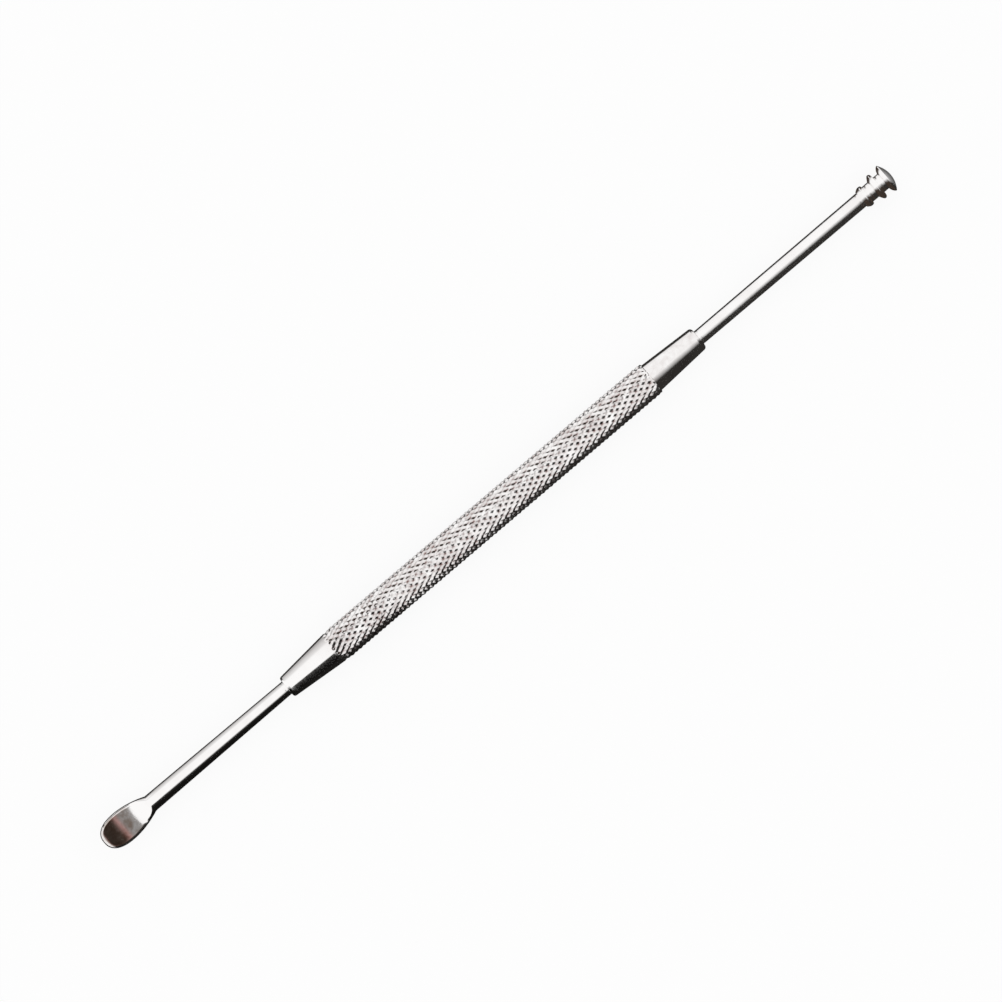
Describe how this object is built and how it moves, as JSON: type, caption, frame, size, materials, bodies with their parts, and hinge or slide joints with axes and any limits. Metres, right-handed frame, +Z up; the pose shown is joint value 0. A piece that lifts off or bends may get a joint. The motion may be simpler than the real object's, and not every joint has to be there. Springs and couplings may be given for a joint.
{
  "type": "ear pick",
  "caption": "Slim steel ear pick with a diamond-knurled handle, a small curved spoon on one shank and a turned ring head on the other.",
  "frame": {"origin": "under the middle of the tool's length, on the surface that the barrel lies on", "axes": "+X along the tool towards the ring head, +Z up, out of the spoon's bowl"},
  "size_m": [0.14, 0.005, 0.005],
  "materials": {
    "knurled_steel": "satin, diamond knurled barrel with turned cones",
    "polished_steel": "polished"
  },
  "bodies": {
    "root": {"knurled_handle": "knurled_steel", "spoon_shank": "polished_steel", "ring_shank": "polished_steel"}
  },
  "joints": []
}
